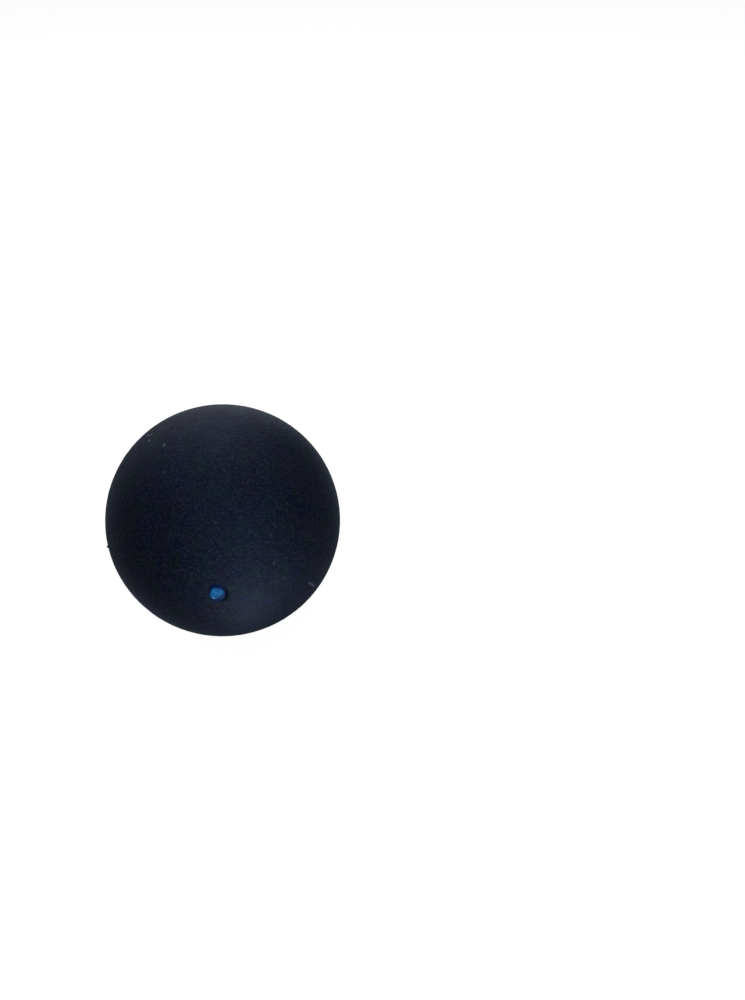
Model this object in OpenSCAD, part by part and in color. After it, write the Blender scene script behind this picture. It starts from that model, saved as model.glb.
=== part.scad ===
// Hollow rubber squash ball, made as two moulded half shells cemented edge to edge
// The origin is the centre of the ball, and the joint lies in the upright XZ plane
// The front half faces -Y and carries the painted speed dot at its pole
// Every section is drawn with the radius along X and the distance from the joint plane along Y

/* [Ball] */
// Outside diameter of the buffed ball
ball_d = 40; // [36:0.5:46]
// Thickness of the rubber wall
wall_t = 5; // [3.5:0.1:7]

/* [Joint] */
// Thickness of the cured cement between the two joint faces
cement_t = 0.2; // [0.1:0.05:0.6]
// Width of the bevel on the inner edge of each joint face
bevel_w = 0.7; // [0.3:0.05:1.5]
// Height of the squeezed-out bead of cement above the chamber wall
bead_h = 0.35; // [0.15:0.05:0.6]

/* [Speed dot] */
// Diameter of the painted dot
dot_d = 2.4; // [1:0.1:5]
// Thickness of the paint at the edge of the dot
dot_edge_t = 0.08; // [0.02:0.01:0.1]
// Thickness of the paint at the middle of the dot
dot_crown_t = 0.25; // [0.12:0.01:0.4]

/* [Hidden] */

// Fine enough that the facets of the ball stay small beside the thickness of the paint
$fn = 256;
// Cutting shapes run past what they cut by this much
overrun = 1;

rubber_colour = [0.10, 0.12, 0.17];
cement_colour = [0.17, 0.16, 0.15];
dot_colour = [0.15, 0.38, 0.62];

// Radius of the arc that rises by a given height over half its chord
function arc_r(half_chord, rise) = (pow(half_chord, 2) + pow(rise, 2)) / (2 * rise);

ball_r = ball_d / 2;
chamber_r = ball_r - wall_t;
half_cement_t = cement_t / 2;

// Where the bevel leaves the joint face, as a radius
bevel_start_r = chamber_r + bevel_w;
// The bevel slopes at 45 degrees, so X and Y add up to the same length all along it
bevel_sum = bevel_start_r + half_cement_t;
// How far it runs along X, and as far along Y, before it meets the round chamber wall
bevel_run = (bevel_start_r - half_cement_t - sqrt(2 * pow(chamber_r, 2) - pow(bevel_sum, 2))) / 2;
// The corner between the bevel and the chamber wall
corner_r = bevel_start_r - bevel_run;
corner_h = half_cement_t + bevel_run;
// The bead's face is an arc through both shells' corners
bead_arc_r = arc_r(corner_h, bead_h);
bead_arc_centre_r = corner_r - bead_h + bead_arc_r;
// The groove between the two bevels is drawn this far past the bevel's start
groove_run = bevel_run + bead_h + overrun;

dot_r = dot_d / 2;
// Distance of the paint's upper edge and of its crown from the joint plane
dot_edge_h = sqrt(pow(ball_r + dot_edge_t, 2) - pow(dot_r, 2));
dot_crown_h = ball_r + dot_crown_t;
dot_arc_r = arc_r(dot_r, dot_crown_h - dot_edge_h);

// Turns a piece made round Z so that its upper side faces the front
module face_front() {
    rotate([90, 0, 0]) children();
}

// Turns a piece made round Z so that its upper side faces the rear
module face_rear() {
    rotate([-90, 0, 0]) children();
}

// Groove that the two bevels form, open towards the chamber
module groove_section() {
    polygon([
        [bevel_start_r, half_cement_t],
        [bevel_start_r - groove_run, half_cement_t + groove_run],
        [bevel_start_r - groove_run, -half_cement_t - groove_run],
        [bevel_start_r, -half_cement_t]
    ]);
}

// Wall of one half from its joint face to its pole, with the inner edge bevelled
module half_shell_section() {
    difference() {
        intersection() {
            circle(r = ball_r);
            translate([0, half_cement_t]) square(ball_r + overrun);
        }
        circle(r = chamber_r);
        groove_section();
    }
}

// Cement between the joint faces
module film_section() {
    intersection() {
        circle(r = ball_r);
        translate([corner_r, -half_cement_t]) square([wall_t + overrun, cement_t]);
    }
}

// Cement that fills the bevels and stands round in the chamber
module bead_section() {
    intersection() {
        translate([bead_arc_centre_r, 0]) circle(r = bead_arc_r);
        groove_section();
    }
}

// Drop of paint that dried slightly domed on the pole of the ball
module dot_section() {
    difference() {
        intersection() {
            translate([0, dot_crown_h - dot_arc_r]) circle(r = dot_arc_r);
            square([dot_r, dot_crown_h + overrun]);
        }
        circle(r = ball_r);
    }
}

module half_shell() {
    rotate_extrude() half_shell_section();
}

module front_half_shell() {
    color(rubber_colour) face_front() half_shell();
}

module rear_half_shell() {
    color(rubber_colour) face_rear() half_shell();
}

module seam_cement() {
    color(cement_colour) face_front() rotate_extrude() {
        film_section();
        bead_section();
    }
}

module speed_dot() {
    color(dot_colour) face_front() rotate_extrude() dot_section();
}

front_half_shell();
rear_half_shell();
seam_cement();
speed_dot();
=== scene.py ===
import math

import bpy
import numpy as np
from mathutils import Euler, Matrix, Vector


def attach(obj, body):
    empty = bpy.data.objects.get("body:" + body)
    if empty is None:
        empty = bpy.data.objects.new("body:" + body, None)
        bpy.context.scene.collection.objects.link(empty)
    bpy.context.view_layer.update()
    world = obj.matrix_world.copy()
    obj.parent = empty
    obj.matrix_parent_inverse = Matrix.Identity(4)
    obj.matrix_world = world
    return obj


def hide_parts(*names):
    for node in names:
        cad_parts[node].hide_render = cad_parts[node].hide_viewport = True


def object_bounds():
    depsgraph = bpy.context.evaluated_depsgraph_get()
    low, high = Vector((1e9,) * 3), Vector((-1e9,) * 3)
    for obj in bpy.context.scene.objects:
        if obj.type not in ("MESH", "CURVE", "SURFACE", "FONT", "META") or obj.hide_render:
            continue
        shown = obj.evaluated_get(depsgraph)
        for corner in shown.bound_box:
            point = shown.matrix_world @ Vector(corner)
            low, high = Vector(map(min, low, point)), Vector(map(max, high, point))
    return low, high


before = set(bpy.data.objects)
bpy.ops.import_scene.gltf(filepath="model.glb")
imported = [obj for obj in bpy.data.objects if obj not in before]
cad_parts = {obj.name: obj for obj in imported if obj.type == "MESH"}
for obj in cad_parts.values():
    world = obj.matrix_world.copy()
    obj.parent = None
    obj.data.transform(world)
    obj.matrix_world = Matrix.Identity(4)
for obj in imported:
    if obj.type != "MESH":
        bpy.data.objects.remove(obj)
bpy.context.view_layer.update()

millimetre = 0.001
micron = 0.000001
fullTurn = 2 * math.pi
print("frame loaded:", ", ".join(sorted(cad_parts)))


# Sizes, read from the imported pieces

def nodePoints(node):
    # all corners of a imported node, one row each, in metres
    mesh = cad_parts[node].data
    flat = np.empty(len(mesh.vertices) * 3, dtype=np.float32)
    mesh.vertices.foreach_get("co", flat)
    return flat.reshape(-1, 3).astype(float)


def readSizes():
    # outer, inner: the furthest and the nearest corner of a half, from the ball's centre
    # joint: how near the half comes to the plane y = 0; bevel start: where its flat face ends there
    # corner: the lowest point of the round chamber wall; bead: the ring's least radius
    # drop: its radius about the y axis, and how far it stands out at its edge and in its middle
    half, ring, drop = (nodePoints(n) for n in ("rear_half_shell", "seam_cement", "speed_dot"))
    outFrom = np.linalg.norm(half, axis=1)
    outer, inner = outFrom.max(), outFrom.min()
    joint = half[:, 1].min()
    onJoint = half[:, 1] < joint + micron
    onChamber = outFrom < inner + micron
    cornerY = half[onChamber, 1].min()
    dropSide = np.hypot(drop[:, 0], drop[:, 2])
    dropOut = np.linalg.norm(drop, axis=1) - outer
    return {
        "outer": outer,
        "inner": inner,
        "joint": joint,
        "bevelStart": np.hypot(half[onJoint, 0], half[onJoint, 2]).min(),
        "cornerRadius": math.sqrt(inner ** 2 - cornerY ** 2),
        "cornerY": cornerY,
        "beadRadius": np.hypot(ring[:, 0], ring[:, 2]).min(),
        "dropRadius": dropSide.max(),
        "dropEdge": dropOut[dropSide > dropSide.max() - micron].max(),
        "dropCrown": dropOut.max(),
    }


size = readSizes()
print("sizes in mm:", {name: round(value / millimetre, 3) for name, value in size.items()})


# The buffed surface: one height field over the whole ball, so pieces that meet also match

buffing = {
    "waves": [  # size of a cell and height, from the slow out-of-round down to single grains
        (9.0 * millimetre, 12 * micron),
        (1.7 * millimetre, 6 * micron),
        (0.75 * millimetre, 8 * micron),
        (0.38 * millimetre, 10 * micron),
    ],
    "waveSeed": 11,
    "crumbs": 46,                              # rubber dust that stuck to the surface
    "crumbRadius": (0.12 * millimetre, 0.20 * millimetre),
    "crumbHeight": (15 * micron, 40 * micron),
    "pits": 60,                                # pinholes that the buffing opened
    "pitRadius": (0.13 * millimetre, 0.24 * millimetre),
    "pitDepth": (12 * micron, 35 * micron),
    "scatterSeed": 23,
    "burr": (-73.3, -1.6),                     # a torn bit of rubber: turn and height in degrees
    "burrRadius": 0.18 * millimetre,
    "burrHeight": 300 * micron,
    "seamDip": 3 * micron,                     # the cement wears a little faster than the rubber
    "seamWidth": 0.22 * millimetre,
}

lint = {
    # specks: turn from the dot's side towards +X and height in degrees, and how much they cover
    "specks": [
        (-95, 58, 1.0), (-85, 57.5, 1.0), (-60.5, 63.5, 1.0), (-38, 53, 0.20),
        (2.2, 33.5, 0.15), (26, 20.7, 0.12), (28.6, 23.4, 0.16), (27.4, 9.9, 0.24),
    ],
    "speckRadius": 0.15 * millimetre,
    "speckHeight": 30 * micron,
    # fibres: the turn and height of both ends, and how much they cover
    "fibres": [
        ((30.6, 29.2), (32.7, 25.8), 0.09),
        ((46.7, -11.2), (52.5, -17.9), 0.6),
        ((-95, 57), (-99, 54.5), 0.7),
    ],
    "fibreRadius": 0.09 * millimetre,
}

# painted shadow: a dark disc a little right of and below the speed dot's middle, which shows as a
# dark crescent beside the dot
paintedDotShadow = {
    "middle": (1.0, -0.9),                     # turn and height of the middle of the painted shadow
    "radius": 1.50 * millimetre,
    "softness": 0.09 * millimetre,
}


def valueNoise(points, cell, seed):
    # random heights at the corners of a cubic lattice, blended across each cell by the
    # fifth-power ease curve 6t^5 - 15t^4 + 10t^3; the lattice is turned at random first
    span = 64
    dice = np.random.default_rng(seed)
    turn = np.linalg.qr(dice.normal(size=(3, 3)))[0]
    heights = dice.uniform(-1, 1, (span, span, span))
    place = points @ turn / cell + span / 2
    base = np.floor(place).astype(int)
    t = place - base
    ease = t ** 3 * (t * (6 * t - 15) + 10)
    total = np.zeros(len(points))
    for corner in np.ndindex(2, 2, 2):
        at = (base + corner) % span
        weight = np.where(corner, ease, 1 - ease).prod(axis=1)
        total += weight * heights[at[:, 0], at[:, 1], at[:, 2]]
    return total


def direction(turnDegrees, heightDegrees):
    # unit vector at a turn from -Y towards +X and a height above the level
    turn, height = math.radians(turnDegrees), math.radians(heightDegrees)
    level = math.cos(height)
    return np.array([level * math.sin(turn), -level * math.cos(turn), math.sin(height)])


def mounds(points, centres, radii, heights):
    # sum of bell curves: height * exp(-(distance / radius)^2) about each centre
    total = np.zeros(len(points))
    for centre, radius, height in zip(centres, radii, heights):
        squared = ((points - centre) ** 2).sum(axis=1)
        total += height * np.exp(-squared / radius ** 2)
    return total


def scatter(count, dice):
    # count directions spread evenly at random over the whole ball
    arrows = dice.normal(size=(count, 3))
    return arrows / np.linalg.norm(arrows, axis=1, keepdims=True)


def streak(points, start, end, radius):
    # bell curve exp(-(distance / radius)^2) about the straight line between two places on the ball;
    # the nearest share of the line is ((point - start) . line) / (line . line), kept within 0 and 1
    start, end = direction(*start) * size["outer"], direction(*end) * size["outer"]
    line = end - start
    share = np.clip((points - start) @ line / (line @ line), 0, 1)
    nearest = start + share[:, None] * line
    return np.exp(-((points - nearest) ** 2).sum(axis=1) / radius ** 2)


def smoothStep(values, low, high):
    # 0 below low, 1 above high, and 3t^2 - 2t^3 between them
    t = np.clip((values - low) / (high - low), 0, 1)
    return t * t * (3 - 2 * t)


def lintCover(points):
    # 0 to 1: how much pale lint lies on a point, as bell curves at each speck and along each fibre
    places = [direction(turn, height) * size["outer"] for turn, height, share in lint["specks"]]
    shares = [share for turn, height, share in lint["specks"]]
    cover = mounds(points, places, [lint["speckRadius"]] * len(places), shares)
    for start, end, share in lint["fibres"]:
        cover = np.maximum(cover, share * streak(points, start, end, lint["fibreRadius"]))
    return np.minimum(cover, 1)


def paintedDotShadowCover(points):
    # painted shadow: 1 / (1 + e^x), where x is how far a point lies past its radius, over its
    # softness
    away = np.linalg.norm(points - direction(*paintedDotShadow["middle"]) * size["outer"], axis=1)
    return 1 / (1 + np.exp((away - paintedDotShadow["radius"]) / paintedDotShadow["softness"]))


def buffedHeight(points):
    # waves of value noise, plus crumbs, lint and a burr, less pinholes and the seam's shallow dip
    total = np.zeros(len(points))
    for step, (cell, height) in enumerate(buffing["waves"]):
        total += height * valueNoise(points, cell, buffing["waveSeed"] + step)
    dice = np.random.default_rng(buffing["scatterSeed"])
    for kind, sizeKey, heightKey, sign in (
        ("crumbs", "crumbRadius", "crumbHeight", 1),
        ("pits", "pitRadius", "pitDepth", -1),
    ):
        count = buffing[kind]
        centres = scatter(count, dice) * size["outer"]
        radii = dice.uniform(*buffing[sizeKey], count)
        total += sign * mounds(points, centres, radii, dice.uniform(*buffing[heightKey], count))
    burr = direction(*buffing["burr"]) * size["outer"]
    total += mounds(points, [burr], [buffing["burrRadius"]], [buffing["burrHeight"]])
    total += lint["speckHeight"] * lintCover(points)
    total -= buffing["seamDip"] * np.exp(-(points[:, 1] / buffing["seamWidth"]) ** 2)
    return total


def buffed(points):
    # each point of the true sphere moves in or out along its own radius by the buffed height
    distance = np.linalg.norm(points, axis=1)
    return points * (1 + buffedHeight(points) / distance)[:, None]


# Mesh helpers

def makePiece(name, points, faceSets, finishes, sharpAngle):
    # points: N by 3; faceSets: pairs of an F by K array of corner numbers and a finish's number
    corners = np.concatenate([faces.ravel() for faces, finish in faceSets])
    sizes = np.concatenate([np.full(len(faces), faces.shape[1]) for faces, finish in faceSets])
    numbers = np.concatenate([np.full(len(faces), finish) for faces, finish in faceSets])
    mesh = bpy.data.meshes.new(name)
    mesh.vertices.add(len(points))
    mesh.vertices.foreach_set("co", points.ravel().astype(np.float32))
    mesh.loops.add(len(corners))
    mesh.loops.foreach_set("vertex_index", corners.astype(np.int32))
    mesh.polygons.add(len(sizes))
    starts = np.concatenate([[0], sizes.cumsum()[:-1]])
    mesh.polygons.foreach_set("loop_start", starts.astype(np.int32))
    mesh.update(calc_edges=True)
    mesh.polygons.foreach_set("material_index", numbers.astype(np.int32))
    mesh.polygons.foreach_set("use_smooth", np.ones(len(sizes), dtype=bool))
    mesh.set_sharp_from_angle(angle=math.radians(sharpAngle))
    for finish in finishes:
        mesh.materials.append(finish)
    piece = bpy.data.objects.new(name, mesh)
    bpy.context.scene.collection.objects.link(piece)
    return piece


def addPointValues(piece, name, values):
    # one number for each corner, which a finish reads by its name
    attribute = piece.data.attributes.new(name, "FLOAT", "POINT")
    attribute.data.foreach_set("value", values.astype(np.float32))


def squareToDisc(quads):
    # a square grid becomes a disc: each square about its middle becomes a circle, and the way
    # along the square's side becomes the angle, so every cell keeps nearly the same area
    side = np.linspace(-1, 1, quads + 1)
    across, up = np.meshgrid(side, side)
    wide = np.abs(across) > np.abs(up)
    share = np.where(wide, across, up)
    lean = np.divide(np.where(wide, up, across), share, out=np.zeros_like(share), where=share != 0)
    angle = np.where(wide, fullTurn / 8 * lean, fullTurn / 4 - fullTurn / 8 * lean)
    return share, angle


def cap(quads, radius, rimHeight):
    # cap of a sphere about +Z: at share s of the disc the height is
    # radius - s^2 (radius - rim height), which turns equal areas of the disc into equal areas
    share, angle = squareToDisc(quads)
    height = radius - share ** 2 * (radius - rimHeight)
    spread = np.sign(share) * np.sqrt(np.maximum(radius ** 2 - height ** 2, 0))
    grid = np.stack([spread * np.cos(angle), spread * np.sin(angle), height], axis=-1)
    return grid.reshape(-1, 3)


def ringAt(count, radius, height):
    # circle about the z axis, its first point in the direction of the grid's first corner
    angle = -fullTurn * 3 / 8 + fullTurn * np.arange(count) / count
    level = np.full(count, height)
    return np.stack([radius * np.cos(angle), radius * np.sin(angle), level], axis=-1)


def gridNumbers(quads, first):
    # corner numbers of a square grid, counted row by row from first
    return first + np.arange((quads + 1) ** 2).reshape(quads + 1, quads + 1)


def gridFaces(numbers):
    # quads of a grid, counter-clockwise where rows run up and columns run across
    around = [numbers[:-1, :-1], numbers[:-1, 1:], numbers[1:, 1:], numbers[1:, :-1]]
    return np.stack(around, axis=-1).reshape(-1, 4)


def rimNumbers(numbers):
    # the grid's border, counter-clockwise from its first corner
    sides = [numbers[0, :-1], numbers[:-1, -1], numbers[-1, :0:-1], numbers[:0:-1, 0]]
    return np.concatenate(sides)


def tubeFaces(numbers):
    # quads of a grid that closes on itself both ways
    across, up = np.roll(numbers, -1, axis=1), np.roll(numbers, -1, axis=0)
    both = np.roll(up, -1, axis=1)
    return np.stack([numbers, across, both, up], axis=-1).reshape(-1, 4)


# Node groups for the finishes

def addNode(tree, kind, inputs=None, **settings):
    # a node with its settings; each input is a plain value or another node's output
    node = tree.nodes.new("ShaderNode" + kind)
    for name, value in settings.items():
        setattr(node, name, value)
    for name, value in (inputs or {}).items():
        if isinstance(value, bpy.types.NodeSocket):
            tree.links.new(value, node.inputs[name])
        else:
            node.inputs[name].default_value = value
    return node


def addMath(tree, operation, first, second=0.0, third=0.0):
    # one sum of up to three numbers; MULTIPLY_ADD is first * second + third
    inputs = {0: first, 1: second, 2: third}
    return addNode(tree, "Math", inputs, operation=operation).outputs[0]


def addSmooth(tree, value, low, high, toLow=0.0, toHigh=1.0):
    # low to high becomes toLow to toHigh along a smooth step
    inputs = {"Value": value, "From Min": low, "From Max": high, "To Min": toLow, "To Max": toHigh}
    return addNode(tree, "MapRange", inputs, interpolation_type="SMOOTHSTEP").outputs["Result"]


def addBlend(tree, share, first, second):
    # colour blend; sockets 0, 6 and 7 are the share and the two colours
    return addNode(tree, "Mix", {0: share, 6: first, 7: second}, data_type="RGBA").outputs[2]


def addNoise(tree, place, detail, roughness=0.5, scale=1.0):
    # layers of smooth noise, each half the size of the one before and roughness times as strong
    inputs = {"Vector": place, "Scale": scale, "Detail": detail, "Roughness": roughness}
    return addNode(tree, "TexNoise", inputs).outputs


def addCells(tree, place, noise, reach):
    # cells whose edges are ragged: the place moves by the noise's colour times a reach each way
    inputs = {0: noise, 1: (reach, reach, reach), 2: place}
    moved = addNode(tree, "VectorMath", inputs, operation="MULTIPLY_ADD").outputs[0]
    return addNode(tree, "TexVoronoi", {"Vector": moved, "Scale": 1.0}, feature="F1").outputs


def colourParts(tree, colour):
    # the three numbers of a colour, under their names
    return addNode(tree, "SeparateColor", {0: colour}).outputs


def newGroup(name, inputs, outputs):
    # an empty group with its sockets; inputs give a kind and a first value, outputs a kind
    group = bpy.data.node_groups.new(name, "ShaderNodeTree")

    def addSocket(label, way, kind):
        return group.interface.new_socket(name=label, in_out=way, socket_type="NodeSocket" + kind)

    for label, (kind, value) in inputs.items():
        socket = addSocket(label, "INPUT", kind)
        if value is not None:
            socket.default_value = value
    for label, kind in outputs.items():
        addSocket(label, "OUTPUT", kind)
    return group, group.nodes.new("NodeGroupInput"), group.nodes.new("NodeGroupOutput")


def patternPlace(group, start, sizeLabel):
    # the position divided by a size in millimetres, so that a texture of scale 1 has that size
    perMetre = addMath(group, "DIVIDE", 1 / millimetre, start.outputs[sizeLabel])
    inputs = {0: start.outputs["Position"], "Scale": perMetre}
    return addNode(group, "VectorMath", inputs, operation="SCALE").outputs[0]


patterns = {  # lengths are shares of the pattern's own size, and pairs run from nothing to all
    "grain": {
        "cellShare": 0.4,                      # of the knobs in the height, the rest is noise
        "detail": 2.0,
        "roughness": 0.6,
        "ragged": 0.7,
        "toneReach": (0.8, 0.1),               # away from a cell's middle
        "toneChance": (0.25, 1.0),             # a cell's random number
    },
    "dust": {
        "fleckShare": 0.12,
        "noiseScale": 9.0,
        "detail": 2.0,
        "ragged": 0.16,
        "leastRadius": 0.01,
        "edge": (1.0, 0.4),                    # away from a fleck's middle, over its radius
    },
    "wear": {
        "patchSize": 9.0,                      # millimetres
        "patchDetail": 2.0,
        "patchRange": (0.45, 0.65),
        "streakSize": 0.35,                    # millimetres
        "streakTurn": (0.5, 0.9, 0.3),
        "streakStretch": (0.16, 1.0, 1.0),
        "streakDetail": 1.5,
        "streakRange": (0.60, 0.74),
    },
    "drift": {
        "detail": 1.5,
        "range": (0.32, 0.68),
    },
}


def rubberGrainGroup():
    # fine grains of buffed rubber: layered noise with a ragged knob in each cell, 1 less its
    # distance from the cell's middle, and each cell's random tone, which fades towards its edge
    pattern = patterns["grain"]
    group, start, end = newGroup(
        "rubberGrain",
        {
            "Position": ("Vector", None),
            "Grain Size": ("Float", 0.2),
            "Cell Share": ("Float", pattern["cellShare"]),
        },
        {"Height": "Float", "Tone": "Float"},
    )
    place = patternPlace(group, start, "Grain Size")
    fluff = addNoise(group, place, pattern["detail"], pattern["roughness"])
    cells = addCells(group, place, fluff["Color"], pattern["ragged"])
    away = cells["Distance"]
    knob = addMath(group, "SUBTRACT", 1.0, away)
    # sockets 0, 2 and 3 are the share and the two heights
    inputs = {0: start.outputs["Cell Share"], 2: fluff["Fac"], 3: knob}
    height = addNode(group, "Mix", inputs).outputs[0]
    chance = colourParts(group, cells["Color"])["Red"]
    near = addSmooth(group, away, *pattern["toneReach"])
    tone = addMath(group, "MULTIPLY", near, addSmooth(group, chance, *pattern["toneChance"]))
    group.links.new(height, end.inputs["Height"])
    group.links.new(tone, end.inputs["Tone"])
    return group


def surfaceDustGroup():
    # pale dust: a few cells of a cell pattern hold a ragged fleck, the others none
    pattern = patterns["dust"]
    group, start, end = newGroup(
        "surfaceDust",
        {
            "Position": ("Vector", None),
            "Spacing": ("Float", 2.0),
            "Fleck Share": ("Float", pattern["fleckShare"]),
            "Dusty Share": ("Float", 0.3),
        },
        {"Mask": "Float"},
    )
    place = patternPlace(group, start, "Spacing")
    noise = addNoise(group, place, pattern["detail"], scale=pattern["noiseScale"])
    cells = addCells(group, place, noise["Color"], pattern["ragged"])
    parts = colourParts(group, cells["Color"])
    radius = addMath(group, "MULTIPLY", start.outputs["Fleck Share"], parts["Green"])
    radius = addMath(group, "MAXIMUM", radius, pattern["leastRadius"])
    spot = addSmooth(group, addMath(group, "DIVIDE", cells["Distance"], radius), *pattern["edge"])
    dusty = addMath(group, "LESS_THAN", parts["Red"], start.outputs["Dusty Share"])
    group.links.new(addMath(group, "MULTIPLY", spot, dusty), end.inputs["Mask"])
    return group


def handlingWearGroup():
    # light scuffs: short streaks of stretched noise, kept only inside some soft patches
    pattern = patterns["wear"]
    group, start, end = newGroup(
        "handlingWear",
        {
            "Position": ("Vector", None),
            "Patch Size": ("Float", pattern["patchSize"]),
            "Streak Size": ("Float", pattern["streakSize"]),
        },
        {"Mask": "Float"},
    )
    place = patternPlace(group, start, "Patch Size")
    patches = addNoise(group, place, pattern["patchDetail"])["Fac"]
    along = {
        "Vector": patternPlace(group, start, "Streak Size"),
        "Rotation": pattern["streakTurn"],
        "Scale": pattern["streakStretch"],
    }
    stretched = addNode(group, "Mapping", along).outputs[0]
    streaks = addNoise(group, stretched, pattern["streakDetail"])["Fac"]
    patches = addSmooth(group, patches, *pattern["patchRange"])
    streaks = addSmooth(group, streaks, *pattern["streakRange"])
    group.links.new(addMath(group, "MULTIPLY", patches, streaks), end.inputs["Mask"])
    return group


def colourDriftGroup():
    # two slow patterns between 0 and 1, for rubber and paint that aren't one even colour
    pattern = patterns["drift"]
    group, start, end = newGroup(
        "colourDrift",
        {"Position": ("Vector", None), "Patch Size": ("Float", 6.0)},
        {"First": "Float", "Second": "Float"},
    )
    cloud = addNoise(group, patternPlace(group, start, "Patch Size"), pattern["detail"])
    parts = colourParts(group, cloud["Color"])
    for label, part in (("First", "Red"), ("Second", "Green")):
        group.links.new(addSmooth(group, parts[part], *pattern["range"]), end.inputs[label])
    return group


groups = {
    "grain": rubberGrainGroup(),
    "dust": surfaceDustGroup(),
    "wear": handlingWearGroup(),
    "drift": colourDriftGroup(),
}
print("node groups made:", len(groups))


# Finishes

buffedLook = {
    "colours": [
        (0.0012, 0.0016, 0.0160, 1), (0.0003, 0.0064, 0.0010, 1), (0.0068, 0.0015, 0.0082, 1),
    ],
    "thirdShare": 0.7,                         # the most that the third colour covers
    "pale": (0.0195, 0.0245, 0.0350, 1),       # dry tops of the grains
    "paleShare": 0.50,                         # of single grains
    "topShare": 0.47,                          # of all the grains, from their hollows to their tops
    "topHeights": (0.40, 0.68),
    "dust": (0.110, 0.125, 0.160, 1),
    "lint": (0.34, 0.38, 0.46, 1),
    # painted shadow beside the speed dot: near-black navy, rougher and with calmer grain
    "paintedDotShadow": (0.0003, 0.0010, 0.0060, 1),
    "paintedShadowRoughness": 0.4,                     # added to the rubber's own
    "paintedShadowCalm": 0.7,                          # how much the grain's bump flattens under the painted shadow
    "patchSize": 2.7,                          # in millimetres, as are the grain and the dust
    "grainSize": 0.385,
    "grainDepth": 92 * micron,
    "dustSpacing": 2.4,
    "dustyShare": 0.16,
    "wearShare": 0.25,
    "wearPolish": 0.3,                         # taken off the roughness where the rubber is scuffed
    "roughness": 0.62,
    "roughnessDrift": 0.06,
    "specular": 0.47,
    "specularTint": (0.218, 0.370, 0.84, 1),
    "sheen": 0.115,
    "sheenRoughness": 0.35,
    "sheenTint": (0.54, 0.70, 1.0, 1),
}
mouldedLook = {
    **buffedLook,
    "pale": (0.0150, 0.0170, 0.0240, 1),
    "paleShare": 0.15,
    "topShare": 0.1,
    "grainSize": 0.7,
    "grainDepth": 8 * micron,
    "dustyShare": 0.05,
    "wearShare": 0.0,
    "roughness": 0.40,
    "specular": 0.45,
    "sheen": 0.0,
}
flushCementLook = {
    **buffedLook,
    "colours": [
        (0.0014, 0.0029, 0.0130, 1), (0.0013, 0.0080, 0.0023, 1), (0.0083, 0.0026, 0.0084, 1),
    ],
    "grainSize": 0.26,
    "grainDepth": 38 * micron,
    "roughness": 0.66,
}
beadCementLook = {
    **mouldedLook,
    "colours": [
        (0.0100, 0.0098, 0.0105, 1), (0.0125, 0.0115, 0.0105, 1), (0.0085, 0.0090, 0.0105, 1),
    ],
    "grainSize": 1.1,
    "grainDepth": 14 * micron,
    "roughness": 0.28,
}
paintLook = {
    "colours": [(0.008, 0.105, 0.330, 1), (0.020, 0.190, 0.470, 1)],
    "edge": (0.0022, 0.010, 0.078, 1),         # navy: thin paint at the edge lets the rubber through, and painted shade on the lower right side
    "edgeFrom": 0.54,
    "edgeTo": 0.84,
    # how far painted shade turns the drop's lower right side navy
    "paintedShadeShare": 0.96,
    # paler blue on the lump: a painted highlight
    "lump": (0.16, 0.36, 0.60, 1),
    "dust": (0.28, 0.40, 0.52, 1),
    "dustShare": 0.4,
    "patchSize": 0.4,
    "grainSize": 0.16,
    "grainDepth": 9 * micron,
    "dustSpacing": 0.7,
    "dustyShare": 0.22,
    "roughness": 0.44,
    "roughnessDrift": 0.12,
    "specular": 0.16,
    "specularTint": (0.22, 0.52, 1.0, 1),
    "coat": 0.02,
    "coatRoughness": 0.25,
}


def newFinish(name):
    # a material with its shader, and the place on the part that all of its patterns start from
    finish = bpy.data.materials.new(name)
    finish.use_nodes = True
    tree = finish.node_tree
    shader = tree.nodes["Principled BSDF"]
    position = addNode(tree, "TexCoord").outputs["Object"]
    return finish, tree, shader, position


def placeGroup(tree, group, position, values):
    # one of the shared groups, with this finish's own values on its sockets
    node = addNode(tree, "Group", node_tree=groups[group])
    tree.links.new(position, node.inputs["Position"])
    for label, value in values.items():
        node.inputs[label].default_value = value
    return node.outputs


def placeShared(tree, position, look):
    # the drift, grain and dust that rubber and paint both have, each in its own size
    dustValues = {"Spacing": look["dustSpacing"], "Dusty Share": look["dustyShare"]}
    return (
        placeGroup(tree, "drift", position, {"Patch Size": look["patchSize"]}),
        placeGroup(tree, "grain", position, {"Grain Size": look["grainSize"]}),
        placeGroup(tree, "dust", position, dustValues)["Mask"],
    )


def pointValue(tree, name):
    # the number that addPointValues put on the corners under this name
    return addNode(tree, "Attribute", attribute_name=name).outputs["Fac"]


def setPlain(shader, values):
    # values that are the same all over the surface, on the shader's own sockets
    for label, value in values.items():
        shader.inputs[label].default_value = value


def addBump(tree, height, depth):
    # the surface's turn as if it stood out by height times depth in metres
    inputs = {"Height": height, "Distance": depth, "Strength": 1.0}
    return addNode(tree, "Bump", inputs).outputs["Normal"]


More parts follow.
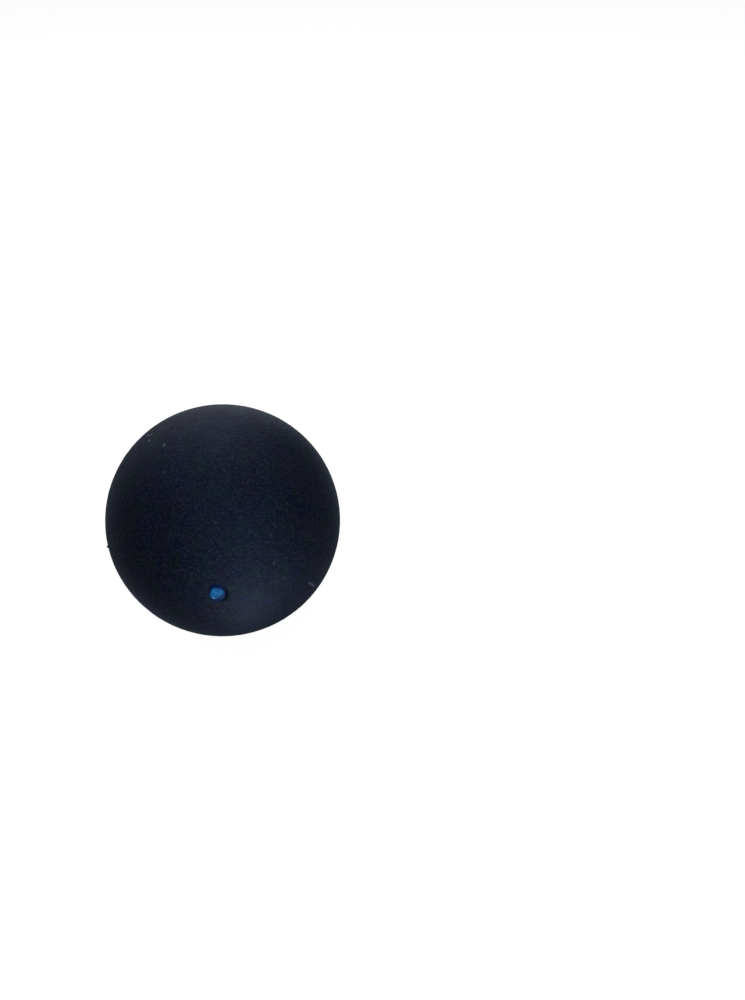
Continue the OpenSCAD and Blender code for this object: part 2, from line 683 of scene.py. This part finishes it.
def rubberFinish(name, look):
    # three blue-blacks drift into each other; grain tops and scuffs are paler, a painted shadow
    # beside the speed dot is dark and dull, and dust and lint lie on top
    finish, tree, shader, position = newFinish(name)
    drift, grain, dust = placeShared(tree, position, look)
    wear = placeGroup(tree, "wear", position, {})["Mask"]
    # painted shadow beside the speed dot, darker and duller than the rubber
    paintedShadow = pointValue(tree, "paintedDotShadow")

    third = addMath(tree, "MULTIPLY", drift["Second"], look["thirdShare"])
    tops = addSmooth(tree, grain["Height"], *look["topHeights"], 0.0, look["topShare"])
    dryTops = addMath(tree, "MULTIPLY_ADD", grain["Tone"], look["paleShare"], tops)
    scuffs = addMath(tree, "MULTIPLY", wear, look["wearShare"])
    colour = addBlend(tree, drift["First"], look["colours"][0], look["colours"][1])
    colour = addBlend(tree, third, colour, look["colours"][2])
    colour = addBlend(tree, addMath(tree, "MAXIMUM", dryTops, scuffs), colour, look["pale"])
    # the painted shadow darkens the colour
    colour = addBlend(tree, paintedShadow, colour, look["paintedDotShadow"])
    colour = addBlend(tree, dust, colour, look["dust"])
    colour = addBlend(tree, pointValue(tree, "lint"), colour, look["lint"])
    tree.links.new(colour, shader.inputs["Base Color"])

    dull = addMath(tree, "MULTIPLY_ADD", drift["Second"], look["roughnessDrift"], look["roughness"])
    dull = addMath(tree, "MULTIPLY_ADD", wear, -look["wearPolish"] * look["wearShare"], dull)
    dull = addMath(tree, "MULTIPLY_ADD", paintedShadow, look["paintedShadowRoughness"], dull)
    tree.links.new(dull, shader.inputs["Roughness"])
    bare = addMath(tree, "MULTIPLY_ADD", paintedShadow, -look["paintedShadowCalm"], 1.0)
    calmed = addMath(tree, "MULTIPLY", grain["Height"], bare)
    tree.links.new(addBump(tree, calmed, look["grainDepth"]), shader.inputs["Normal"])
    setPlain(shader, {
        "Specular IOR Level": look["specular"],
        "Specular Tint": look["specularTint"],
        "Sheen Weight": look["sheen"],
        "Sheen Roughness": look["sheenRoughness"],
        "Sheen Tint": look["sheenTint"],
    })
    return finish


def paintFinish(name, look):
    # blue that turns navy at the drop's edge and, as painted shade, on its lower right side, with a
    # lump painted paler as a highlight, and a few dust marks
    finish, tree, shader, position = newFinish(name)
    drift, grain, dust = placeShared(tree, position, look)
    # painted shade: the drop's lower right side turns navy
    paintedShade = addMath(tree, "MULTIPLY", pointValue(tree, "dotPaintedShade"), look["paintedShadeShare"])
    rim = addSmooth(tree, pointValue(tree, "rimShare"), look["edgeFrom"], look["edgeTo"])
    marks = addMath(tree, "MULTIPLY", dust, look["dustShare"])

    colour = addBlend(tree, drift["First"], look["colours"][0], look["colours"][1])
    # painted shade on the lower right side
    colour = addBlend(tree, paintedShade, colour, look["edge"])
    colour = addBlend(tree, rim, colour, look["edge"])
    colour = addBlend(tree, marks, colour, look["dust"])
    # painted highlight on the lump
    colour = addBlend(tree, pointValue(tree, "lumpPaintedHighlight"), colour, look["lump"])
    tree.links.new(colour, shader.inputs["Base Color"])
    dull = addMath(tree, "MULTIPLY_ADD", drift["Second"], look["roughnessDrift"], look["roughness"])
    tree.links.new(dull, shader.inputs["Roughness"])
    tree.links.new(addBump(tree, grain["Height"], look["grainDepth"]), shader.inputs["Normal"])
    setPlain(shader, {
        "Specular IOR Level": look["specular"],
        "Specular Tint": look["specularTint"],
        "Coat Weight": look["coat"],
        "Coat Roughness": look["coatRoughness"],
    })
    return finish


finishes = {
    "buffed": rubberFinish("buffedRubber", buffedLook),
    "moulded": rubberFinish("mouldedRubber", mouldedLook),
    "flushCement": rubberFinish("flushCement", flushCementLook),
    "beadCement": rubberFinish("beadCement", beadCementLook),
    "paint": paintFinish("dotPaint", paintLook),
}
print("finishes made:", ", ".join(finishes))


# Half shells

shellMesh = {
    "outerQuads": 288,       # across the dome; a cell is about 0.17 mm wide
    "outerPerInner": 4,      # outer cells beside one inner cell along the rim
    "sharpAngle": 38,
}


def halfShell(name, node, toPart):
    # a closed dome in its own frame, pole up: the outer cap, the flat joint face, the inner bevel
    # and the chamber's cap; toPart turns it to its side of the ball, then the outside is buffed
    outerQuads = shellMesh["outerQuads"]
    step = shellMesh["outerPerInner"]
    innerQuads = outerQuads // step
    outerPoints = cap(outerQuads, size["outer"], size["joint"])
    bevelPoints = ringAt(4 * innerQuads, size["bevelStart"], size["joint"])
    innerPoints = cap(innerQuads, size["inner"], size["cornerY"])

    outer = gridNumbers(outerQuads, 0)
    bevel = len(outerPoints) + np.arange(len(bevelPoints))
    inner = gridNumbers(innerQuads, len(outerPoints) + len(bevelPoints))
    outerRim, innerRim = rimNumbers(outer), rimNumbers(inner)

    beside = np.arange(len(bevel))[:, None] * step + np.arange(step, -1, -1)
    jointFaces = np.column_stack([bevel, np.roll(bevel, -1), outerRim[beside % len(outerRim)]])
    bevelFaces = np.column_stack([bevel, innerRim, np.roll(innerRim, -1), np.roll(bevel, -1)])

    outerPoints = outerPoints @ toPart
    points = np.concatenate([buffed(outerPoints), bevelPoints @ toPart, innerPoints @ toPart])
    piece = makePiece(
        name, points,
        [(gridFaces(outer), 0), (jointFaces, 1), (bevelFaces, 1), (gridFaces(inner)[:, ::-1], 1)],
        [finishes["buffed"], finishes["moulded"]], shellMesh["sharpAngle"],
    )
    # lint, and the painted shadow beside the speed dot, as numbers on the outer corners
    for cover, values in (("lint", lintCover(outerPoints)), ("paintedDotShadow", paintedDotShadowCover(outerPoints))):
        addPointValues(piece, cover, np.pad(values, (0, len(points) - len(values))))
    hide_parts(node)
    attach(piece, "root")
    return piece


# each row is where that axis of the dome's own frame goes: across stays, the pole goes to -Y or +Y
frontTurn = np.array([[1, 0, 0], [0, 0, 1], [0, -1, 0]], dtype=float)
rearTurn = np.array([[1, 0, 0], [0, 0, -1], [0, 1, 0]], dtype=float)
frontShell = halfShell("front_shell_buffed", "front_half_shell", frontTurn)
rearShell = halfShell("rear_shell_buffed", "rear_half_shell", rearTurn)
print("half shells made:", len(frontShell.data.polygons), "faces each")


# Cement between the halves

cementShape = {
    "beadPoints": 9,                           # across the bead that was squeezed out inside
    "beadUneven": 0.10 * millimetre,
    "beadWave": 3.0 * millimetre,
    "seed": 57,
}


def cementRing():
    # a section carried round the y axis: buffed flush outside, two flat sides, the flanks that fill
    # the bevels, and the bead, which at a share a of its half width stands 1 - a^2 of its height
    # out, and whose height wanders with noise along the ring
    stations = 4 * shellMesh["outerQuads"]
    angle = ringAt(stations, 1.0, 0.0)[:, :2]
    outerSide = math.sqrt(size["outer"] ** 2 - size["joint"] ** 2)
    beadHeight = size["cornerRadius"] - size["beadRadius"]
    across = np.linspace(-1, 1, cementShape["beadPoints"] + 2)
    outerPoints = 3                            # the first of the section lie on the ball's outside
    flatRadius = [outerSide, size["outer"], outerSide, size["bevelStart"]]
    flatY = [-size["joint"], 0, size["joint"], size["joint"]]
    beadRadius = size["cornerRadius"] - beadHeight * (1 - across ** 2)
    radius = np.concatenate([flatRadius, beadRadius, [size["bevelStart"]]])
    y = np.concatenate([flatY, -across * size["cornerY"], [-size["joint"]]])

    middle = np.stack([angle[:, 0], np.zeros(stations), angle[:, 1]], axis=-1) * size["inner"]
    noise = valueNoise(middle, cementShape["beadWave"], cementShape["seed"])
    wander = cementShape["beadUneven"] * noise
    lifted = np.zeros(len(radius))
    lifted[len(flatRadius):-1] = 1 - across ** 2
    radii = radius[None, :] - wander[:, None] * lifted[None, :]
    wide = np.broadcast_to(y, radii.shape)
    points = np.stack([radii * angle[:, :1], wide, radii * angle[:, 1:]], axis=-1)
    outer = points[:, :outerPoints]
    points[:, :outerPoints] = buffed(outer.reshape(-1, 3)).reshape(outer.shape)

    numbers = np.arange(stations * len(radius)).reshape(stations, len(radius))
    faces = tubeFaces(numbers).reshape(stations, len(radius), 4)
    outside = faces[:, :outerPoints - 1].reshape(-1, 4)
    inside = faces[:, outerPoints - 1:].reshape(-1, 4)
    points = points.reshape(-1, 3)
    piece = makePiece(
        "seam_cement_ring", points, [(outside, 0), (inside, 1)],
        [finishes["flushCement"], finishes["beadCement"]], shellMesh["sharpAngle"],
    )
    addPointValues(piece, "lint", lintCover(points))
    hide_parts("seam_cement")
    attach(piece, "root")
    return piece


cement = cementRing()
print("cement ring made:", len(cement.data.polygons), "faces")


# Speed dot

dropShape = {
    "quads": 72,
    "acrossShare": 1.13,                       # the drop ran a little, so it is taller than wide
    "upShare": 1.52,
    "bareAcross": 0.86,                        # the navy edge is narrower at the sides
    "bareUp": 1.12,
    # the outline's swells: how many, how high as a share of the radius, and their phase
    "lobes": [(2, 0.020, 0.4), (3, 0.026, 2.1), (5, 0.016, 4.0), (6, 0.018, 0.9)],
    "fineUneven": 0.022,
    "fineWave": 0.22 * millimetre,
    "lean": 0.35,                              # how much higher the drop is towards one side
    "leanAngle": 125,                          # the side darkened by painted shade, in degrees from +X up towards +Z
    "paintedShadeAngle": -65,                          # the side where the paint thins out
    "paintedShadeFrom": 0.06,
    "paintedShadeTo": 0.74,
    "lump": ((-2.1, -1.9), (-1.3, -2.7)),      # its two ends, as turn and height; it is raised and also carries a painted highlight
    "lumpRadius": 0.12 * millimetre,
    "lumpHeight": 45 * micron,
    "shoulder": 14,                            # higher is a squarer edge
    "skinUneven": 5 * micron,
    "skinWave": 0.35 * millimetre,
    "sink": 40 * micron,                       # how far the paint fills the grain below it
    "sharpAngle": 60,
    "seed": 71,
}


def speedDrop():
    # an oval disc whose radius swells and shrinks with a few sine lobes and fine noise; its top
    # stands out by edge + (crown - edge)(1 - s^2)(1 + lean s cos(angle - lean angle)) plus a lump,
    # times the root of 1 - s^shoulder, and its underside sinks into the grain
    share, angle = squareToDisc(dropShape["quads"])
    share, angle = share.ravel(), angle.ravel()
    angle = np.where(share < 0, angle + fullTurn / 2, angle)
    share = np.abs(share)
    outline = np.ones(len(angle))
    for count, height, phase in dropShape["lobes"]:
        outline += height * np.sin(count * angle + phase)
    level = np.zeros(len(angle))
    rimPlace = np.stack([np.cos(angle), level, np.sin(angle)], axis=-1) * size["dropRadius"]
    fine = valueNoise(rimPlace, dropShape["fineWave"], dropShape["seed"])
    outline += dropShape["fineUneven"] * fine
    outline *= 1 / outline.max()

    side = size["dropRadius"] * share * outline
    across = side * dropShape["acrossShare"] * np.cos(angle)
    up = side * dropShape["upShare"] * np.sin(angle)
    deep = np.sqrt(size["outer"] ** 2 - across ** 2 - up ** 2)
    onBall = np.stack([across, -deep, up], axis=-1)
    outward = onBall / size["outer"]
    skin = valueNoise(onBall, dropShape["skinWave"], dropShape["seed"] + 1)
    onLump = streak(onBall, *dropShape["lump"], dropShape["lumpRadius"])
    lean = dropShape["lean"] * share * np.cos(angle - math.radians(dropShape["leanAngle"]))
    crown = size["dropCrown"] - size["dropEdge"]
    rise = size["dropEdge"] + crown * (1 - share ** 2) * (1 + lean)
    rise = rise + dropShape["skinUneven"] * skin + dropShape["lumpHeight"] * onLump
    rise = rise * np.sqrt(1 - share ** dropShape["shoulder"])
    bareAcross, bareUp = dropShape["bareAcross"], dropShape["bareUp"]
    rim = share * np.hypot(bareAcross * np.cos(angle), bareUp * np.sin(angle))
    # painted shade: 0 on most of the drop, rising to 1 towards its lower right side
    towardsPaintedShade = share * np.cos(angle - math.radians(dropShape["paintedShadeAngle"]))
    paintedShade = smoothStep(towardsPaintedShade, dropShape["paintedShadeFrom"], dropShape["paintedShadeTo"])
    under = buffed(onBall)
    top = onBall + outward * rise[:, None]
    bottom = under - outward * dropShape["sink"]

    quads = dropShape["quads"]
    topNumbers = gridNumbers(quads, 0)
    bottomNumbers = gridNumbers(quads, len(top))
    topRim, bottomRim = rimNumbers(topNumbers), rimNumbers(bottomNumbers)
    skirt = np.column_stack([topRim, bottomRim, np.roll(bottomRim, -1), np.roll(topRim, -1)])
    points = np.concatenate([top, bottom])
    piece = makePiece(
        "speed_dot_paint", points,
        [(gridFaces(topNumbers), 0), (skirt, 0), (gridFaces(bottomNumbers)[:, ::-1], 0)],
        [finishes["paint"]], dropShape["sharpAngle"],
    )
    addPointValues(piece, "rimShare", np.concatenate([rim, np.ones(len(rim))]))
    # painted shade on the drop's lower right side
    addPointValues(piece, "dotPaintedShade", np.concatenate([paintedShade, paintedShade]))
    # where the lump carries its painted highlight
    addPointValues(piece, "lumpPaintedHighlight", np.concatenate([onLump, np.zeros(len(onLump))]))
    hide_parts("speed_dot")
    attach(piece, "root")
    return piece


speedDot = speedDrop()
print("speed dot made:", len(speedDot.data.polygons), "faces")


# Floor, lights and camera

studio = {
    "floorHalf": 4.0,                          # metres
    "floorColour": (0.15, 0.15, 0.15, 1),
    "floorGlow": 0.965,                        # only the camera sees it: it makes the floor white
    "floorGrain": 0.01,
    "floorPatch": 40.0,                        # millimetres
    "floorRoughness": 0.9,
    "floorSpecular": 0.1,
    "floorSharpAngle": 30,
    "backdrop": (0.985, 0.985, 0.985, 1),
    "roomColour": (0.92, 0.96, 1.0, 1),
    "roomGlow": 0.02,
    "lightDistance": 0.7,                      # metres, from the ball's centre
    "lights": {
        # turn from -Y towards +X and height in degrees, width and height in metres,
        # strength as the brightness of a white card that faces the light
        "front": (20, 20, 0.34, 0.34, 0.33),
        "frontHigh": (-20, 45, 0.34, 0.34, 0.11),
        "backHigh": (180, 65, 0.34, 0.34, 0.27),
        "back": (180, 45, 0.34, 0.34, 0.09),
        "backLow": (180, 8, 0.34, 0.20, 0.07),
        "backLeft": (210, 20, 0.34, 0.34, 0.055),
        "left": (-95, 50, 0.34, 0.34, 0.06),
        "right": (95, 50, 0.34, 0.34, 0.04),
    },
    # square lights that lie on the floor, face up: turn, and their own brightness
    "floorCards": {"frontCard": (20, 1.72), "backCard": (180, 0.80)},
    "cardReach": 55 * millimetre,              # from below the ball's centre to a light's middle
    "cardSide": 50 * millimetre,
    "cardLift": 0.2 * millimetre,
}

view = {  # the photograph's place round the ball, with turn and height in degrees
    "imageWidth": 745,
    "imageHeight": 1000,
    "focalPixels": 950,
    "sensor": 36.0,                            # millimetres, along the image's longer side
    "distance": 166.9 * millimetre,
    "turn": 6.9,
    "height": 34.4,
    "ballX": 224.8,                            # where the ball's centre lies in the image
    "ballY": 520.0,
    "nearClip": millimetre,
    "farClip": 20.0,                           # metres
}


def paperFloor(level):
    # a wide sheet just under the lowest grain of the ball, with a faint unevenness of tone
    half = studio["floorHalf"]
    around = [(-half, -half), (half, -half), (half, half), (-half, half)]
    corners = np.array([(x, y, level) for x, y in around])
    finish, tree, shader, position = newFinish("palePaper")
    drift = placeGroup(tree, "drift", position, {"Patch Size": studio["floorPatch"]})["First"]
    bright = tuple(part + studio["floorGrain"] for part in studio["floorColour"][:3]) + (1,)
    colour = addBlend(tree, drift, studio["floorColour"], bright)
    seen = addNode(tree, "LightPath").outputs["Is Camera Ray"]
    glow = addMath(tree, "MULTIPLY", seen, studio["floorGlow"])
    tree.links.new(colour, shader.inputs["Base Color"])
    tree.links.new(glow, shader.inputs["Emission Strength"])
    setPlain(shader, {
        "Roughness": studio["floorRoughness"],
        "Specular IOR Level": studio["floorSpecular"],
        "Emission Color": (1, 1, 1, 1),
    })
    quad = [(np.array([[0, 1, 2, 3]]), 0)]
    sharp = studio["floorSharpAngle"]
    floor = makePiece("paper_floor", corners, quad, [finish], sharp)


def aimedAt(place, target):
    # the turn that points an object's -Z axis from place to target, with +Y up
    return (Vector(target) - Vector(place)).to_track_quat("-Z", "Y").to_euler()


def addLight(name, width, height, energy, place, turned):
    # an area light that the camera doesn't see itself
    light = bpy.data.lights.new(name, "AREA")
    light.shape = "RECTANGLE"
    light.size = width
    light.size_y = height
    light.energy = energy
    lamp = bpy.data.objects.new(name, light)
    lamp.location = place
    lamp.rotation_euler = turned
    lamp.visible_camera = False
    bpy.context.scene.collection.objects.link(lamp)


def softLights(level):
    # a card at distance d that faces an area light of power P is lit to a brightness of
    # P / (pi d)^2, and the light itself has a brightness of P / (pi times its area)
    distance = studio["lightDistance"]
    for name, (turn, rise, width, height, strength) in studio["lights"].items():
        place = direction(turn, rise) * distance
        energy = strength * (math.pi * distance) ** 2
        addLight(name, width, height, energy, place, aimedAt(place, (0, 0, 0)))
    side = studio["cardSide"]
    for name, (turn, glow) in studio["floorCards"].items():
        place = direction(turn, 0) * studio["cardReach"]
        place[2] = level + studio["cardLift"]
        turned = (math.pi, 0, -math.radians(turn))
        addLight(name, side, side, glow * math.pi * side ** 2, place, turned)


def paleRoom():
    # the camera sees a white backdrop, and everything else a dimmer room
    world = bpy.data.worlds.new("paleRoom")
    world.use_nodes = True
    tree = world.node_tree
    background = tree.nodes["Background"]
    seen = addNode(tree, "LightPath").outputs["Is Camera Ray"]
    colour = addBlend(tree, seen, studio["roomColour"], studio["backdrop"])
    strength = addSmooth(tree, seen, 0.0, 1.0, studio["roomGlow"], 1.0)
    tree.links.new(colour, background.inputs["Color"])
    tree.links.new(strength, background.inputs["Strength"])
    bpy.context.scene.world = world


def photoCamera():
    # the camera stands at a turn, height and distance from the ball's centre; with the centre at
    # x, y of the image plane, n the length of (x, y, 1) and e the height, the camera's tilt is
    # atan(y) + asin(n sin e / root(1 + y^2)), and its pan -turn - atan2(x, cos tilt + y sin tilt)
    focal = view["focalPixels"]
    turn, height = math.radians(view["turn"]), math.radians(view["height"])
    x = (view["ballX"] - view["imageWidth"] / 2) / focal
    y = (view["imageHeight"] / 2 - view["ballY"]) / focal
    slant = math.sqrt(1 + x * x + y * y)
    tilt = math.atan(y) + math.asin(slant * math.sin(height) / math.sqrt(1 + y * y))
    pan = -turn - math.atan2(x, math.cos(tilt) + y * math.sin(tilt))
    data = bpy.data.cameras.new("photoCamera")
    data.sensor_width = view["sensor"]
    data.lens = view["sensor"] * focal / view["imageHeight"]
    data.clip_start = view["nearClip"]
    data.clip_end = view["farClip"]
    camera = bpy.data.objects.new("photoCamera", data)
    camera.location = Vector(direction(view["turn"], view["height"])) * view["distance"]
    camera.rotation_euler = Euler((math.radians(90) - tilt, 0, -pan))
    bpy.context.scene.collection.objects.link(camera)
    bpy.context.scene.camera = camera


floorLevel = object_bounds()[0][2]
paperFloor(floorLevel)
softLights(floorLevel)
paleRoom()
photoCamera()
bpy.context.scene.view_settings.view_transform = "Standard"
print("floor, lights and camera made")
